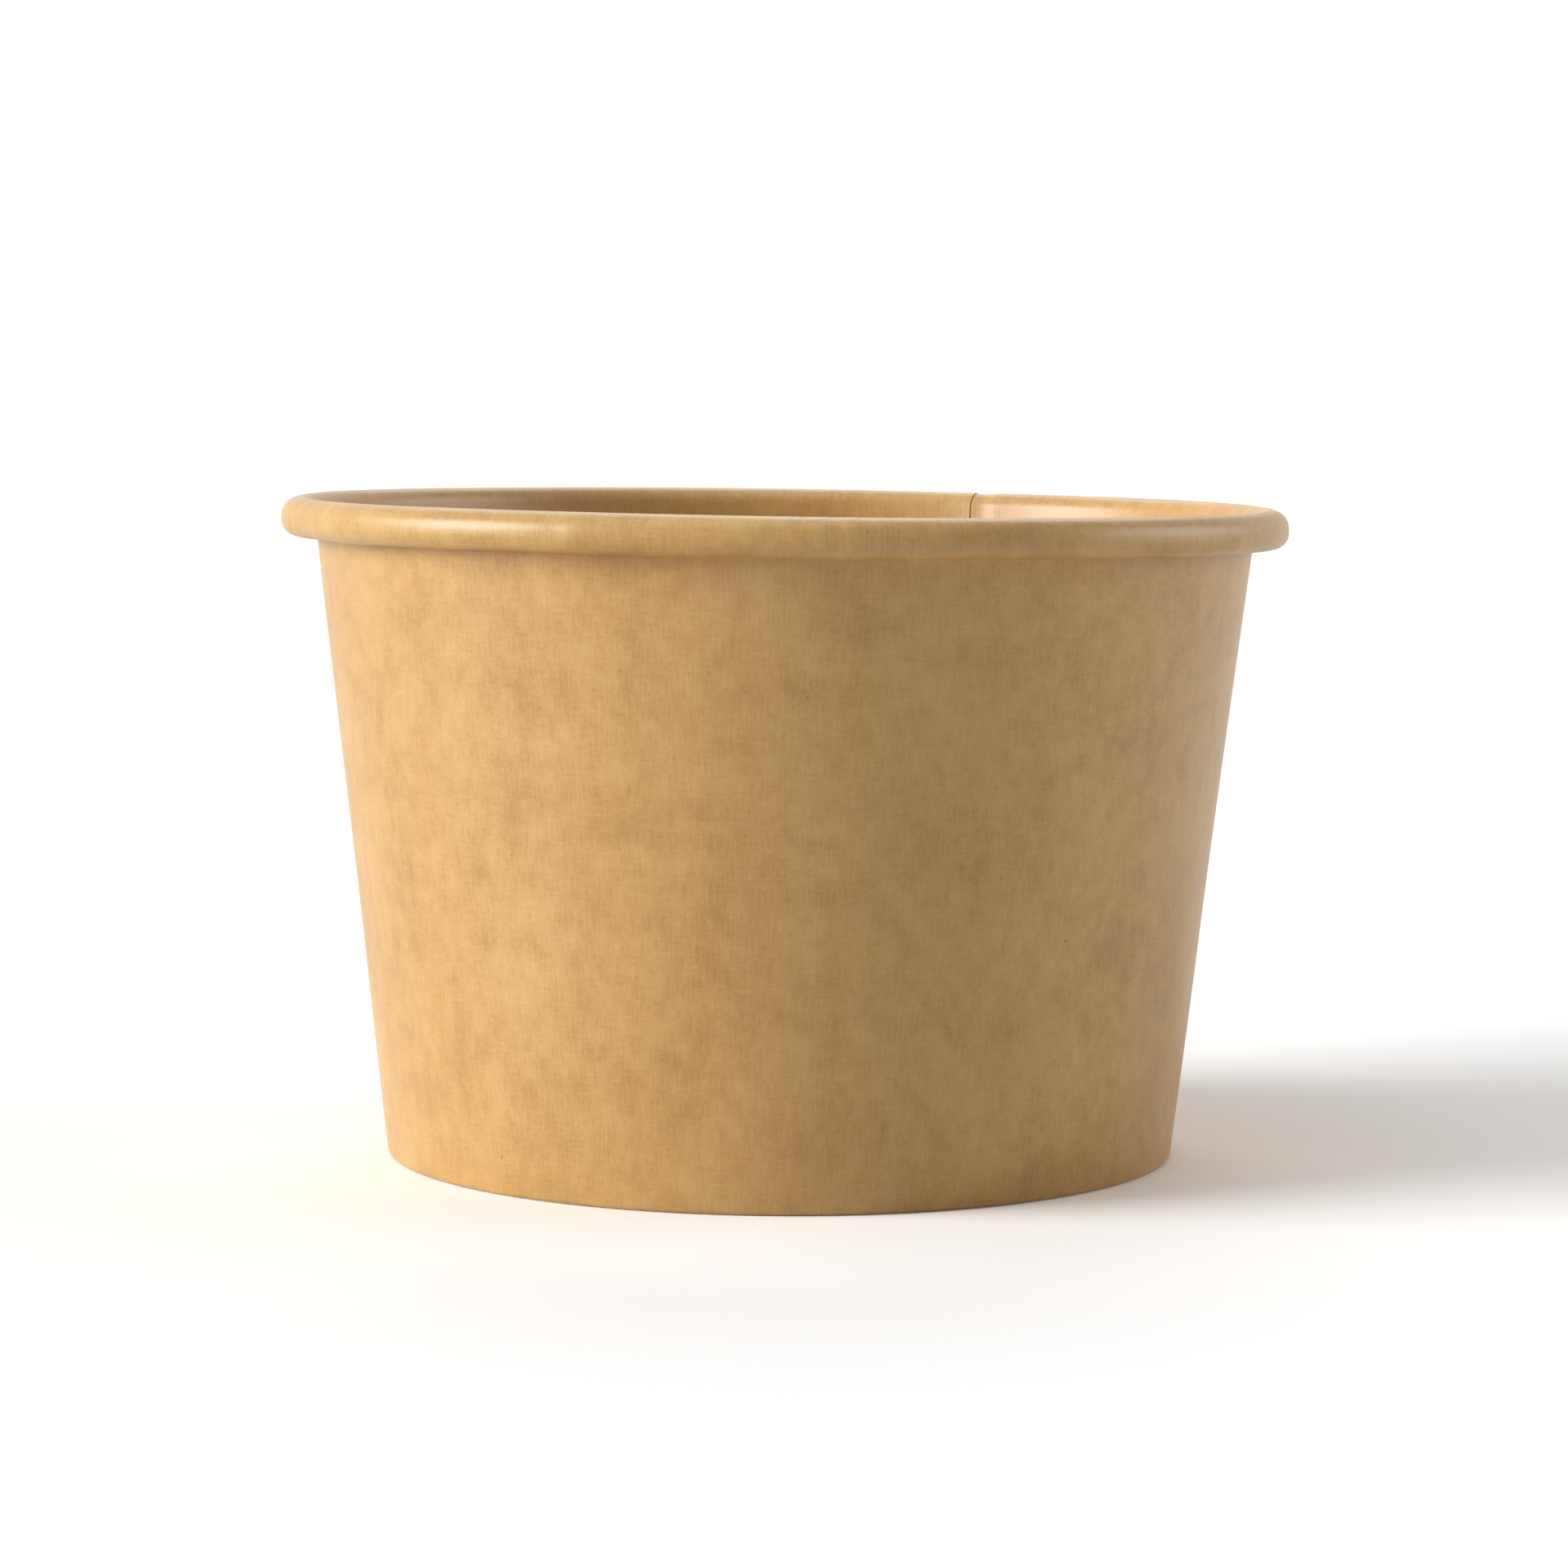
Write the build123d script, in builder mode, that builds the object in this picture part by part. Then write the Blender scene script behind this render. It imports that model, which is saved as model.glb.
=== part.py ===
"""Paper ice cream tub: a side wall with a rolled rim and a folded foot, and a base disc with a skirt.

Millimetres, +Z up. The origin is the centre of the foot, on the surface that the tub stands on.
Each piece is board, so its section is drawn as two faces, a board apart: the food side, which faces
the filling, and the print side. The side wall's board runs from the hem's cut edge, down inside the
base's skirt, round the fold of the foot, up the wall and round the curl of the rim, to its tucked edge.
"""

import os
from math import asin, atan2, cos, degrees, hypot, radians, sin, tan

from build123d import *

# ---- overall sizes --------------------------------------------------------------------------------
rim_diameter = 96.0  # over the rolled rim, where a lid fits
foot_diameter = 75.0  # outside of the wall, where it meets the surface
tub_height = 62.5

# ---- side wall board ------------------------------------------------------------------------------
board = 0.42  # thickness, coatings included
fold_radius = 0.08  # inside the fold of the foot
hem_clearance = 0.8  # from the hem's cut edge up to the underside of the base disc

# ---- rolled rim -----------------------------------------------------------------------------------
bead_width = 3.6
bead_height = 3.75
bead_flat = 0.1  # shortest straight stretch between the turns of the curl
curl_gap = 0.04  # between the layers of the curl

# ---- lap of the side seam -------------------------------------------------------------------------
seam_angle = 64.0  # the inside layer's cut edge, about +Z from +X
lap_width = 7.0  # where the board is double, measured round the foot
jog_width = 2.5  # over which the outside layer steps out past that edge

# ---- base disc ------------------------------------------------------------------------------------
base_board = 0.36
base_recess = 7.0  # from the surface up to the underside of the disc
base_bend = 0.5  # inside the bend of its skirt
skirt_clearance = 0.35  # from the skirt's cut edge down to the fold
seal_gap = 0.03  # film between bonded boards

# ---- worked out: the wall runs straight from the foot to the inner turn of the curl ---------------
rim_radius = rim_diameter / 2
foot_radius = foot_diameter / 2
curl_radius = (min(bead_width, bead_height) - bead_flat) / 2
curl_r = rim_radius - bead_width + curl_radius
curl_z = tub_height - curl_radius
curl_reach = hypot(curl_r - foot_radius, curl_z)
slope = degrees(atan2(curl_r - foot_radius, curl_z) - asin((curl_radius - board) / curl_reach))
lean = tan(radians(slope))
across = 1 / cos(radians(slope))  # level width of a layer that is 1 thick along the slope
hem_height = base_recess - hem_clearance

# Layers are counted inward from the wall's outside face: wall, skirt of the base, hem.
hem_depth = board + base_board + 2 * seal_gap
lap_depth = hem_depth + 2 * board  # the hem is double too, where the wall is
skirt_depth = board + seal_gap
skirt_bottom = board + skirt_clearance
disc_top = base_recess + base_board

lap_angle = degrees(lap_width / foot_radius)
jog_angle = degrees(jog_width / foot_radius)
jog_foot = fold_radius + 2 * board  # the jog starts just clear of the foot's fold
lap_sink = board / 2  # the seam's bonded layers run into each other by this much


def wall_radius(height, depth=0.0):
    """Radius of a layer that lies depth inside the wall's outside face, at a height."""
    return foot_radius + height * lean - depth * across


def layer_point(height, depth):
    """That place in the XZ plane, as a sketch point."""
    return (wall_radius(height, depth), height)


# The curl's lower turns are as large as the room outside the wall allows, and its edge is tucked in.
under_bottom = tub_height - bead_height
under_width = rim_radius - wall_radius(under_bottom, -curl_gap)
under_corner = tan(radians(45 + slope / 2))  # length of the lower inside turn's tangents, for a radius of 1
under_radius = min(curl_radius, (under_width - bead_flat) / (1 + under_corner))
tuck_radius = curl_radius - board - curl_gap
seam_top = under_bottom + under_radius  # the lap runs up behind the curl


def board_face(depth):
    """Draws one face of the side wall's board, depth in from its food side, from hem to tucked edge."""
    rim = rim_radius - depth
    top = tub_height - depth
    bottom = under_bottom + depth
    tuck_top = top - board - curl_gap
    turns = [fold_radius + depth] * 2 + [curl_radius - depth] * 2 + [under_radius - depth] * 2
    face = FilletPolyline(
        layer_point(hem_height, hem_depth + depth),
        layer_point(board - depth, hem_depth + depth),
        layer_point(board - depth, board - depth),
        layer_point(top, board - depth),
        (rim, top),
        (rim, bottom),
        layer_point(bottom, -curl_gap - depth),
        layer_point(tuck_top, -curl_gap - depth),
        (rim_radius - curl_radius, tuck_top),
        radius=[*turns, tuck_radius - depth],
    )
    return face @ 0, face @ 1


def disc_face(height, depth, bend):
    """Draws one face of the base's board, from the middle of the disc to the edge of its skirt."""
    face = FilletPolyline(
        (0, height),
        layer_point(height, depth),
        layer_point(skirt_bottom, depth),
        radius=bend,
    )
    return face @ 0, face @ 1


def seam_jog(surface, step, bottom, top):
    """Wedge from the step at the seam edge down to a layer's surface, which it meets over the jog.

    Its two other corners are sunk past the surface by half the step, so it runs on by half the jog.
    """
    edge, run_out = radians(seam_angle), radians(seam_angle - 1.5 * jog_angle)
    with BuildPart() as wedge:
        for height in (bottom, top):
            sunk = wall_radius(height, surface + (surface - step) / 2)
            raised = wall_radius(height, step)
            with BuildSketch(Plane.XY.offset(height)):
                Polygon(
                    (sunk * cos(edge), sunk * sin(edge)),
                    (raised * cos(edge), raised * sin(edge)),
                    (sunk * cos(run_out), sunk * sin(run_out)),
                    align=None,
                )
        loft(ruled=True)
    return wedge.part


# ---- side wall ------------------------------------------------------------------------------------
seam_plane = Plane(
    origin=(0, 0, 0),
    x_dir=(cos(radians(seam_angle)), sin(radians(seam_angle)), 0),
    z_dir=(sin(radians(seam_angle)), -cos(radians(seam_angle)), 0),
)
with BuildPart() as side_wall:
    with BuildSketch(seam_plane):
        with BuildLine():
            food_hem, food_tuck = board_face(0)
            print_hem, print_tuck = board_face(board)
            Line(food_hem, print_hem)
            Line(food_tuck, print_tuck)
        make_face()
    revolve(axis=Axis.Z)

    # The seam's outside layer, sunk a little into the inside one: up the wall and round the foot.
    with BuildSketch(seam_plane):
        with BuildLine():
            lap_outside = FilletPolyline(
                layer_point(seam_top, -board),
                layer_point(0, -board),
                layer_point(0, lap_depth),
                layer_point(hem_height, lap_depth),
                radius=fold_radius + board,
            )
            lap_inside = Polyline(
                layer_point(hem_height, lap_depth - board - lap_sink),
                layer_point(lap_sink, lap_depth - board - lap_sink),
                layer_point(lap_sink, lap_sink),
                layer_point(seam_top, lap_sink),
            )
            Line(lap_outside @ 1, lap_inside @ 0)
            Line(lap_inside @ 1, lap_outside @ 0)
        make_face()
    revolve(axis=Axis.Z, revolution_arc=lap_angle)

    # Beside the lap that layer steps in by a board: outside, inside the hem and on the food side.
    add(seam_jog(0, -board, jog_foot, seam_top))
    add(seam_jog(lap_depth - board, lap_depth, jog_foot, hem_height))
    add(seam_jog(board, 0, disc_top, seam_top), mode=Mode.SUBTRACT)

# ---- base disc ------------------------------------------------------------------------------------
with BuildPart() as base_disc:
    with BuildSketch(Plane.XZ):
        with BuildLine():
            top_middle, top_edge = disc_face(disc_top, skirt_depth, base_bend + base_board)
            low_middle, low_edge = disc_face(base_recess, skirt_depth + base_board, base_bend)
            Line(top_middle, low_middle)
            Line(top_edge, low_edge)
        make_face()
    revolve(axis=Axis.Z)

side_wall.part.label = "side_wall"
base_disc.part.label = "base_disc"

os.makedirs("parts", exist_ok=True)
export_step(side_wall.part, "parts/side_wall.step")
export_step(base_disc.part, "parts/base_disc.step")
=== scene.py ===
"""Looks for an empty paper ice cream tub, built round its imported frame: kraft board, camera, floor, light.

Lengths are in millimetres until a mesh is made. A section point is a complex number, radius + 1j * height.
The side wall is one strip of board. It starts at the seam's inside cut edge, goes once round the tub and
on over the lap, so both cut edges are there, and each layer lies on the one before.
"""

from cmath import exp, phase
from math import asin, atan2, cos, hypot, pi, radians, sin, tan

import bmesh
import bpy
import numpy as np
from mathutils import Matrix, Vector


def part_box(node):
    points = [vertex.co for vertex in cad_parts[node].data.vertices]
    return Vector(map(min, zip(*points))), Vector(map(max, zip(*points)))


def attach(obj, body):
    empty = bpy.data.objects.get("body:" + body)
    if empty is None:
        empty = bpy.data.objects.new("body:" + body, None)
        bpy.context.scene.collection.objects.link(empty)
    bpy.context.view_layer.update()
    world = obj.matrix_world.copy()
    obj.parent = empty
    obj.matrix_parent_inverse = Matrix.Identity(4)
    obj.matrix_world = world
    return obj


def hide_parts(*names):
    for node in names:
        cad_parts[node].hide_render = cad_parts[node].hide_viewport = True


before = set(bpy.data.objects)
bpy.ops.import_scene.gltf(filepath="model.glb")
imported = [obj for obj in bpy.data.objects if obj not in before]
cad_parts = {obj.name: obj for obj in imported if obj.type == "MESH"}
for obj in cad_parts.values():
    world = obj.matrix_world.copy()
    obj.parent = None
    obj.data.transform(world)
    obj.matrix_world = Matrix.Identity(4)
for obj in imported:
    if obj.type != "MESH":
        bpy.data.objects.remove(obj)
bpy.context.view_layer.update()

MM = 0.001
wall_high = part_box("side_wall")[1] / MM
disc_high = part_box("base_disc")[1] / MM

# ---- sizes of the tub, as the frame has them ------------------------------------------------------
RIM_RADIUS = wall_high.x
TUB_HEIGHT = wall_high.z
DISC_TOP = disc_high.z
FOOT_RADIUS = 37.5
BOARD = 0.42
FOLD_RADIUS = 0.08  # inside the fold of the foot
BEAD_WIDTH = 3.6
BEAD_HEIGHT = 3.75
CURL_RADIUS = 1.75
CURL_GAP = 0.04
HEM_HEIGHT = 6.2
BASE_BOARD = 0.36
BASE_BEND = 0.5
SEAL_GAP = 0.03
SKIRT_BOTTOM = 0.95  # clear of the seam's second layer in the foot

# ---- seam of the side wall ------------------------------------------------------------------------
SEAM_ANGLE = 64.0  # the inside cut edge, in degrees about +Z from +X
LAP_ANGLE = 10.7
JOG_ANGLE = 3.8
SETTLE_ANGLE = 8.0  # over which the inside layer comes down beside the lap
LAP_SPACE = 0.02
LAP_PRESSING = 0.8  # how much thinner the curl has pressed the two layers

# ---- what handling and forming did to the tub -----------------------------------------------------
RIM_TILT = 0.008  # the rim is lower towards +X, as a slope
RIM_SHIFT = 0.2  # the rim's middle stands this far towards +X
WALL_WOBBLE = 0.16  # inward, in the middle of the wall
RIM_WOBBLE = 0.10
BEAD_WAVES = 0.14  # in the height of the bead's lower edge
CRINKLE = 0.035  # of the board's face round the curl
RIBS = 120  # pressed into the hem, against the skirt of the base
RIB_DEPTH = 0.11
DISC_SAG = 0.25
PLEATS = 90
PLEAT_DEPTH = 0.03

COLUMNS = 741  # round the side wall
DISC_COLUMNS = 360
SHEET_RADIUS = 42.0  # turns an angle into millimetres of flat board

spread = RIM_RADIUS - BEAD_WIDTH + CURL_RADIUS - FOOT_RADIUS
rise = TUB_HEIGHT - CURL_RADIUS
slope = atan2(spread, rise) - asin((CURL_RADIUS - BOARD) / hypot(spread, rise))
across = 1 / cos(slope)
hem_depth = BOARD + BASE_BOARD + 2 * SEAL_GAP
under_bottom = TUB_HEIGHT - BEAD_HEIGHT


def smooth(share):
    """Eases from 0 to 1 as share does."""
    share = np.clip(share, 0, 1)
    return share * share * (3 - 2 * share)


def waves(angle, height, cycles, seed):
    """Sum of waves round the tub, from about -1 to 1, that drift with height. Angle is in radians."""
    chance = np.random.default_rng(seed)
    total = 0
    for count in cycles:
        drift = chance.uniform(-0.12, 0.12)
        total = total + np.sin(count * angle + drift * height + chance.uniform(0, 2 * pi))
    return total / len(cycles) ** 0.5 / 1.5


# ---- section of the board -------------------------------------------------------------------------
def layer_point(height, depth):
    """Section point of a layer that lies depth inside the wall's outside face."""
    return FOOT_RADIUS + height * tan(slope) - depth * across + 1j * height


def rounded(corners, radii, run_steps, turn_steps):
    """Points along a line through the corners, with a fixed number of steps in each run and turn."""
    turns = [[corners[0]]]
    for before, corner, after, radius, steps in zip(corners, corners[1:], corners[2:], radii, turn_steps):
        back = (before - corner) / abs(before - corner)
        onward = (after - corner) / abs(after - corner)
        bend = phase(-onward / back)
        half = (pi - abs(bend)) / 2
        centre = corner + (back + onward) / abs(back + onward) * radius / sin(half)
        start = corner + back * radius / tan(half) - centre
        turns.append([centre + start * exp(1j * bend * step / steps) for step in range(steps + 1)])
    turns.append([corners[-1]])
    points = []
    for turn, following, steps in zip(turns, turns[1:], run_steps):
        points += turn
        points += [turn[-1] + (following[0] - turn[-1]) * step / steps for step in range(1, steps)]
    return np.array(points + turns[-1])


def wall_face(depth):
    """One face of the side wall's board, depth in from its food side, from hem to tucked edge."""
    rim = RIM_RADIUS - depth
    top = TUB_HEIGHT - depth
    bottom = under_bottom + depth
    tuck_top = top - BOARD - CURL_GAP
    under_width = RIM_RADIUS - layer_point(under_bottom, -CURL_GAP).real
    under_radius = min(CURL_RADIUS, (under_width - 0.1) / (1 + tan(pi / 4 + slope / 2)))
    corners = [
        layer_point(HEM_HEIGHT, hem_depth + depth),
        layer_point(BOARD - depth, hem_depth + depth),
        layer_point(BOARD - depth, BOARD - depth),
        layer_point(top, BOARD - depth),
        rim + 1j * top,
        rim + 1j * bottom,
        layer_point(bottom, -CURL_GAP - depth),
        layer_point(tuck_top, -CURL_GAP - depth),
        RIM_RADIUS - CURL_RADIUS + 1j * tuck_top,
    ]
    turns = [FOLD_RADIUS + depth] * 2 + [CURL_RADIUS - depth] * 2 + [under_radius - depth] * 2
    turns.append(CURL_RADIUS - BOARD - CURL_GAP - depth)
    return rounded(corners, turns, [6, 1, 16, 1, 1, 1, 1, 2], [3, 3, 7, 7, 6, 4, 4])


def disc_face(height, depth, bend):
    """One face of the base's board, from its middle to the cut edge of its skirt."""
    corners = [0.01 + 1j * height, layer_point(height, depth), layer_point(SKIRT_BOTTOM, depth)]
    return rounded(corners, [bend], [16, 5], [5])


# ---- meshes ---------------------------------------------------------------------------------------
def placed(radius, height, angle):
    """Frame positions in millimetres, with the tilt and the shift that grow towards the rim."""
    share = height / TUB_HEIGHT
    narrowed = radius * (1 - RIM_SHIFT * share / RIM_RADIUS)
    x = narrowed * np.cos(angle) + RIM_SHIFT * share
    y = narrowed * np.sin(angle)
    return np.stack([x, y, height - RIM_TILT * (x + RIM_RADIUS) * share], axis=-1)


def quads(numbers):
    """Four-sided faces of a grid of vertex numbers."""
    corners = [numbers[:-1, :-1], numbers[:-1, 1:], numbers[1:, 1:], numbers[1:, :-1]]
    return np.stack(corners, axis=-1).reshape(-1, 4).tolist()


def board_piece(name, faces, sheet, closed):
    """Solid piece of board from its two faces, grids [face, row, column] of points in millimetres.

    sheet has each point's place on the flat board, for the grain. A closed piece joins up all round.
    """
    numbers = np.arange(faces[..., 0].size).reshape(faces.shape[:3])
    patches = []
    if closed:
        numbers = np.concatenate([numbers, numbers[:, :, :1]], axis=2)
    else:
        patches = [numbers[:, :, 0], numbers[:, :, -1]]
    patches += [numbers[0], numbers[1], numbers[:, 0], numbers[:, -1]]
    mesh = bpy.data.meshes.new(name)
    mesh.from_pydata((faces.reshape(-1, 3) * MM).tolist(), [], sum(map(quads, patches), []))
    corners = np.zeros(len(mesh.loops), int)
    mesh.loops.foreach_get("vertex_index", corners)
    mesh.uv_layers.new(name="sheet").data.foreach_set("uv", sheet.reshape(-1, 2)[corners].ravel())

    shape = bmesh.new()
    shape.from_mesh(mesh)
    bmesh.ops.recalc_face_normals(shape, faces=shape.faces)
    shape.to_mesh(mesh)
    shape.free()
    mesh.shade_smooth()
    mesh.set_sharp_from_angle(angle=radians(40))
    piece = bpy.data.objects.new(name, mesh)
    bpy.context.scene.collection.objects.link(piece)
    return piece


def flat_length(path):
    """Distance along a section from its first point."""
    return np.concatenate([[0], np.cumsum(np.abs(np.diff(path)))])


def side_wall_piece():
    """The wall's strip of board: hem, fold of the foot, wall and rolled rim, lapped at the seam."""
    food, back = wall_face(0), wall_face(BOARD)
    wound = np.linspace(0, 360 + LAP_ANGLE, COLUMNS)
    angle = np.radians(SEAM_ANGLE + wound)
    toward_print = (back - food)[:, None] / BOARD
    in_curl = np.arange(len(food)) > np.argmax(food.imag)
    curl_share = np.where(in_curl, 1, smooth((food.imag - 50) / 10))[:, None]

    # Each column's place in the seam: the outside layer steps out over the inside one.
    outside = smooth((wound - 360 + JOG_ANGLE) / JOG_ANGLE)
    inside = 1 - smooth((wound - LAP_ANGLE) / SETTLE_ANGLE)
    pressed = 1 - LAP_PRESSING * curl_share * np.maximum(outside, inside * (wound < LAP_ANGLE + 1))
    second = BOARD + LAP_SPACE
    lift = second * np.maximum(outside, inside)

    crinkles = waves(angle, food.imag[:, None] * 9, range(41, 125, 7), 5)
    crinkles = crinkles * smooth(0.4 + waves(angle, food.real[:, None], (5, 9, 14), 6))
    crinkles = CRINKLE * (crinkles + 1) * in_curl[:, None]
    sides = []
    for depth in (0, BOARD):
        offset = (second * outside + depth) * pressed + crinkles
        section = food[:, None] + toward_print * offset
        radius, height = section.real, section.imag
        share = np.clip(height / TUB_HEIGHT, 0, 1)

        bulge = smooth((share - 0.1) / 0.4) * (1 - 0.6 * share)
        radius = radius - WALL_WOBBLE * bulge * (1 + waves(angle, height, (2, 3, 5), 1))
        radius = radius - 0.3 * RIM_WOBBLE * share**2 * (1 + waves(angle, height, (3, 4, 6), 2))
        height = height - RIM_WOBBLE * share**3 * (1 + waves(angle, 0, (2, 3, 5), 3)) / 2
        low_in_bead = in_curl[:, None] * (1 - smooth((section.imag - under_bottom) / 2.2))
        height = height + BEAD_WAVES * low_in_bead * (1 + waves(angle, 0, (7, 11, 16, 23), 4)) / 2
        if depth:
            hem = section.real < layer_point(0, 0).real + section.imag * tan(slope) - 2 * BOARD
            band = hem * smooth((height - 0.9) / 0.6) * smooth((6.3 - height) / 0.5)
            radius = radius + RIB_DEPTH * band * (1 - np.cos(RIBS * angle)) / 2
        height = height + lift * (1 - share)
        sides.append(placed(radius, height, angle + 0 * radius))

    along = flat_length(food)[:, None] + 0 * angle
    round_sheet = np.radians(wound) * SHEET_RADIUS + 0 * along
    sheet = np.stack([np.stack([round_sheet + side * 400, along], axis=-1) for side in (0, 1)])
    return board_piece("side_wall_board", np.stack(sides), sheet, closed=False)


def base_disc_piece():
    """The base: a disc that sags a little, with a skirt turned down round it and faintly pleated."""
    skirt_depth = BOARD + SEAL_GAP
    angle = np.radians(np.linspace(0, 360, DISC_COLUMNS, endpoint=False))
    tops = disc_face(DISC_TOP, skirt_depth, BASE_BEND + BASE_BOARD)
    unders = disc_face(DISC_TOP - BASE_BOARD, skirt_depth + BASE_BOARD, BASE_BEND)
    sides, sheets = [], []
    for side, face in enumerate((tops, unders)):
        radius = face.real[:, None] + 0 * angle
        height = face.imag[:, None] + 0 * angle
        middle = 1 - smooth(radius / (FOOT_RADIUS - 1.5))
        height = height - DISC_SAG * middle * (1 + 0.2 * waves(angle, radius, (2, 3, 4), 8))
        skirt = 1 - smooth((height - 4.5) / 2.5)
        radius = radius - PLEAT_DEPTH * skirt * (1 - np.cos(PLEATS * angle)) / 2
        sides.append(placed(radius, height, angle + 0 * radius))
        flat = flat_length(face)[:, None]
        sheets.append(np.stack([flat * np.cos(angle) + 700 + 90 * side, flat * np.sin(angle)], axis=-1))
    return board_piece("base_disc_board", np.stack(sides), np.stack(sheets), closed=True)


# ---- materials ------------------------------------------------------------------------------------
def node(tree, kind, inputs=None, **settings):
    """Adds a node. inputs maps a socket's name or number to a value or to another node's output."""
    made = tree.nodes.new(kind)
    for name, value in settings.items():
        setattr(made, name, value)
    for name, value in (inputs or {}).items():
        if isinstance(value, bpy.types.NodeSocket):
            tree.links.new(value, made.inputs[name])
        else:
            made.inputs[name].default_value = value
    return made


def maths(tree, operation, *values, clamp=False):
    """Output of a Math node."""
    inputs = dict(enumerate(values))
    return node(tree, "ShaderNodeMath", inputs, operation=operation, use_clamp=clamp).outputs[0]


def grain(tree, sheet, size, detail=3.0, shift=0.0):
    """Noise over the flat board, from 0 to 1. size is a feature's width and height in millimetres."""
    stretched = node(
        tree,
        "ShaderNodeMapping",
        {"Vector": sheet, "Location": (shift, shift, 0), "Scale": (1 / size[0], 1 / size[1], 1)},
    )
    noise = node(
        tree,
        "ShaderNodeTexNoise",
        {"Vector": stretched.outputs[0], "Scale": 1.0, "Detail": detail, "Roughness": 0.55},
    )
    return noise.outputs["Fac"]


def flecks(tree, sheet, size, share, shift):
    """Mask of scattered flecks, one at most in a cell. size is a cell, share how many cells have one."""
    stretched = node(
        tree,
        "ShaderNodeMapping",
        {
            "Vector": sheet,
            "Location": (shift, 0, 0),
            "Rotation": (0, 0, shift),
            "Scale": (1 / size[0], 1 / size[1], 1),
        },
    )
    cells = node(
        tree, "ShaderNodeTexVoronoi", {"Vector": stretched.outputs[0], "Scale": 1.0, "Randomness": 1.0}
    )
    chance = node(tree, "ShaderNodeSeparateColor", {0: cells.outputs["Color"]}).outputs[0]
    wanted = maths(tree, "LESS_THAN", chance, share)
    inside = node(
        tree,
        "ShaderNodeMapRange",
        {"Value": cells.outputs["Distance"], "From Min": 0.02, "From Max": 0.05, "To Min": 1, "To Max": 0},
    )
    return maths(tree, "MULTIPLY", inside.outputs[0], wanted)


def weighted(tree, *pairs):
    """0.5 plus the sum of noises about their middle, each times its weight."""
    total = 0.5
    for value, weight in pairs:
        centred = maths(tree, "SUBTRACT", value, 0.5)
        total = maths(tree, "MULTIPLY_ADD", centred, weight, total)
    return total


def kraft(name, dark, middle, light, shift):
    """Uncoloured brown board under a thin satin film: mottled, with fibres, flecks and a soft gloss."""
    material = bpy.data.materials.new(name)
    material.use_nodes = True
    tree = material.node_tree
    tree.nodes.clear()
    sheet = node(tree, "ShaderNodeUVMap", uv_map="sheet").outputs[0]

    clouds = grain(tree, sheet, (9, 11), 4, shift)
    mottle = grain(tree, sheet, (2.2, 2.6), 4, shift + 31)
    upright = grain(tree, sheet, (0.22, 2.4), 2, shift + 57)
    level = grain(tree, sheet, (2.0, 0.25), 2, shift + 83)
    tooth = grain(tree, sheet, (0.35, 0.35), 3, shift + 11)
    tone = weighted(tree, (clouds, 0.8), (mottle, 0.7), (upright, 0.5), (level, 0.3), (tooth, 0.4))
    ramp = node(tree, "ShaderNodeValToRGB", {"Fac": tone})
    ramp.color_ramp.elements[0].position = 0.2
    ramp.color_ramp.elements[0].color = (*dark, 1)
    ramp.color_ramp.elements[1].position = 0.8
    ramp.color_ramp.elements[1].color = (*light, 1)
    ramp.color_ramp.elements.new(0.5).color = (*middle, 1)

    dark_flecks = maths(
        tree,
        "MAXIMUM",
        flecks(tree, sheet, (4.5, 4.5), 0.35, shift + 0.3),
        flecks(tree, sheet, (0.9, 7.0), 0.10, shift + 1.1),
    )
    light_flecks = flecks(tree, sheet, (0.8, 6.0), 0.10, shift + 0.02)
    spotted = node(
        tree,
        "ShaderNodeMix",
        {0: maths(tree, "MULTIPLY", dark_flecks, 0.6), 6: ramp.outputs[0], 7: (0.22, 0.13, 0.06, 1)},
        data_type="RGBA",
    )
    fibred = node(
        tree,
        "ShaderNodeMix",
        {0: maths(tree, "MULTIPLY", light_flecks, 0.35), 6: spotted.outputs[2], 7: (0.85, 0.68, 0.45, 1)},
        data_type="RGBA",
    )

    gloss = weighted(tree, (mottle, 0.6), (tooth, 0.5), (upright, 0.4))
    roughness = node(tree, "ShaderNodeMapRange", {"Value": gloss, "To Min": 0.30, "To Max": 0.48})
    relief = weighted(tree, (upright, 0.8), (level, 0.4), (tooth, 0.5), (mottle, 0.8), (clouds, 1.5))
    bump = node(tree, "ShaderNodeBump", {"Strength": 0.5, "Distance": 0.03 * MM, "Height": relief})
    shader = node(
        tree,
        "ShaderNodeBsdfPrincipled",
        {
            "Base Color": fibred.outputs[2],
            "Roughness": roughness.outputs[0],
            "Normal": bump.outputs[0],
            "IOR": 1.5,
            "Specular IOR Level": 0.65,
        },
    )
    node(tree, "ShaderNodeOutputMaterial", {"Surface": shader.outputs[0]})
    return material


def seen_directly(tree):
    """1 for rays from the camera, and for those off shiny or through clear things."""
    path = node(tree, "ShaderNodeLightPath").outputs
    glossy = maths(tree, "MAXIMUM", path["Is Glossy Ray"], path["Is Transmission Ray"])
    return maths(tree, "MAXIMUM", path["Is Camera Ray"], glossy)


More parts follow.
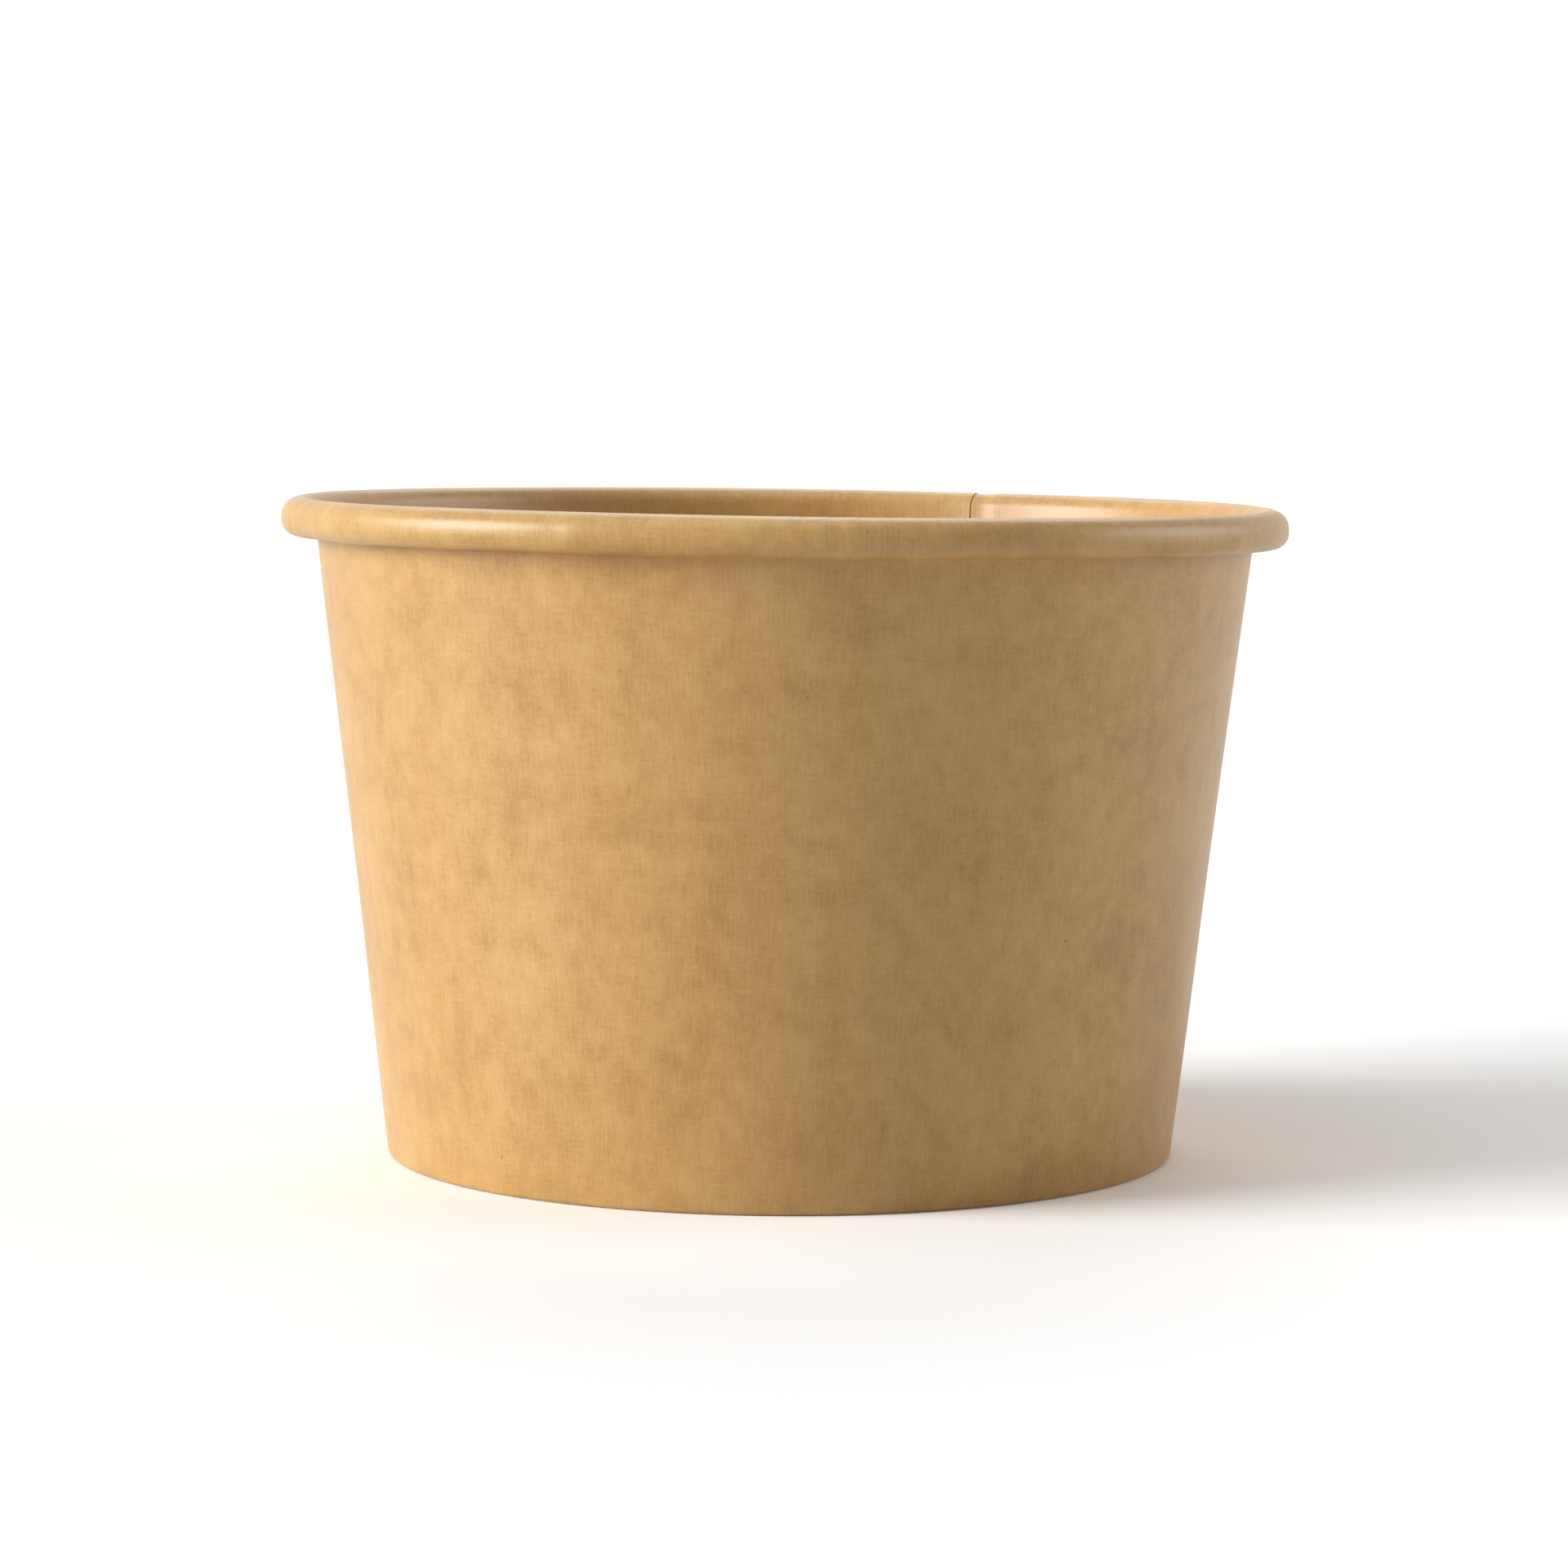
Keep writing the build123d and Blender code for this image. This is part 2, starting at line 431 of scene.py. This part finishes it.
def white_floor(diffuse, glow):
    """White floor: to the camera it shows its shading times diffuse, plus glow, so bare floor is white."""
    material = bpy.data.materials.new("white_floor")
    material.use_nodes = True
    tree = material.node_tree
    tree.nodes.clear()
    plain = node(tree, "ShaderNodeBsdfDiffuse", {"Color": (0.8, 0.8, 0.8, 1)})
    shown = node(tree, "ShaderNodeBsdfDiffuse", {"Color": (diffuse, diffuse, diffuse, 1)})
    light = node(tree, "ShaderNodeEmission", {"Color": (1, 1, 1, 1), "Strength": glow})
    lit = node(tree, "ShaderNodeAddShader", {0: shown.outputs[0], 1: light.outputs[0]})
    mixed = node(
        tree, "ShaderNodeMixShader", {0: seen_directly(tree), 1: plain.outputs[0], 2: lit.outputs[0]}
    )
    node(tree, "ShaderNodeOutputMaterial", {"Surface": mixed.outputs[0]})
    return material


# ---- surroundings ---------------------------------------------------------------------------------
def add_camera():
    """Long lens, a little above the rim and rolled very slightly."""
    pitch, yaw, roll = 0.08828, 0.00608, 0.00643
    onward = Vector((sin(yaw) * cos(pitch), cos(yaw) * cos(pitch), -sin(pitch)))
    level = Vector((cos(yaw), -sin(yaw), 0))
    upward = level.cross(onward)
    image_x = level * cos(roll) + upward * sin(roll)
    image_y = upward * cos(roll) - level * sin(roll)
    camera = bpy.data.cameras.new("camera")
    camera.lens = 108.44
    camera.sensor_width = 36
    camera.clip_start = 0.01
    camera.clip_end = 100
    holder = bpy.data.objects.new("camera", camera)
    holder.matrix_world = Matrix((image_x, image_y, -onward)).transposed().to_4x4()
    holder.location = Vector((-2.492, -450.05, 74.9)) * MM
    bpy.context.scene.collection.objects.link(holder)
    bpy.context.scene.camera = holder


def add_floor():
    """Wide floor, a hair under the foot."""
    mesh = bpy.data.meshes.new("floor")
    edge = 30
    corners = [(-edge, -edge), (edge, -edge), (edge, edge), (-edge, edge)]
    mesh.from_pydata([(x, y, -0.02 * MM) for x, y in corners], [], [(0, 1, 2, 3)])
    floor = bpy.data.objects.new("floor", mesh)
    floor.data.materials.append(white_floor(FLOOR_DIFFUSE, FLOOR_GLOW))
    bpy.context.scene.collection.objects.link(floor)


def add_world(ambient):
    """White to the camera and in reflections, and a weak even light on everything else."""
    world = bpy.data.worlds.new("world")
    bpy.context.scene.world = world
    world.use_nodes = True
    tree = world.node_tree
    tree.nodes.clear()
    strength = node(
        tree, "ShaderNodeMapRange", {"Value": seen_directly(tree), "To Min": ambient, "To Max": 1}
    )
    light = node(tree, "ShaderNodeBackground", {"Color": (1, 1, 1, 1), "Strength": strength.outputs[0]})
    node(tree, "ShaderNodeOutputWorld", {"Surface": light.outputs[0]})


def add_sun(name, azimuth, elevation, width, strength):
    """Soft light from far away: azimuth in degrees from the camera's side towards +X, width its angle."""
    lamp = bpy.data.lights.new(name, "SUN")
    lamp.energy = strength
    lamp.angle = radians(width)
    turn, rise = radians(azimuth), radians(elevation)
    source = Vector((sin(turn) * cos(rise), -cos(turn) * cos(rise), sin(rise)))
    holder = bpy.data.objects.new(name, lamp)
    holder.rotation_mode = "QUATERNION"
    holder.rotation_quaternion = source.to_track_quat("Z", "Y")
    bpy.context.scene.collection.objects.link(holder)


FLOOR_DIFFUSE = 1.15  # of its shading, as the camera sees it
FLOOR_GLOW = 0.07
AMBIENT = 0.04

kraft_board = kraft("kraft_board", (0.46, 0.245, 0.065), (0.57, 0.325, 0.098), (0.65, 0.395, 0.14), 0.0)
base_board = kraft("base_board", (0.47, 0.255, 0.07), (0.58, 0.335, 0.103), (0.66, 0.405, 0.145), 200.0)

for piece, cad_node, slot, material in (
    (side_wall_piece(), "side_wall", "kraft_board", kraft_board),
    (base_disc_piece(), "base_disc", "base_board", base_board),
):
    piece.data.materials.append(material)
    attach(piece, "root")
    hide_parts(cad_node)

add_camera()
add_floor()
add_world(AMBIENT)
add_sun("key_light", -77, 18, 36, 3.7)
add_sun("top_light", -60, 75, 50, 0.65)
add_sun("side_light", 100, 18, 40, 1.0)
add_sun("back_light", 180, 45, 40, 0.6)

bpy.context.scene.view_settings.view_transform = "Standard"
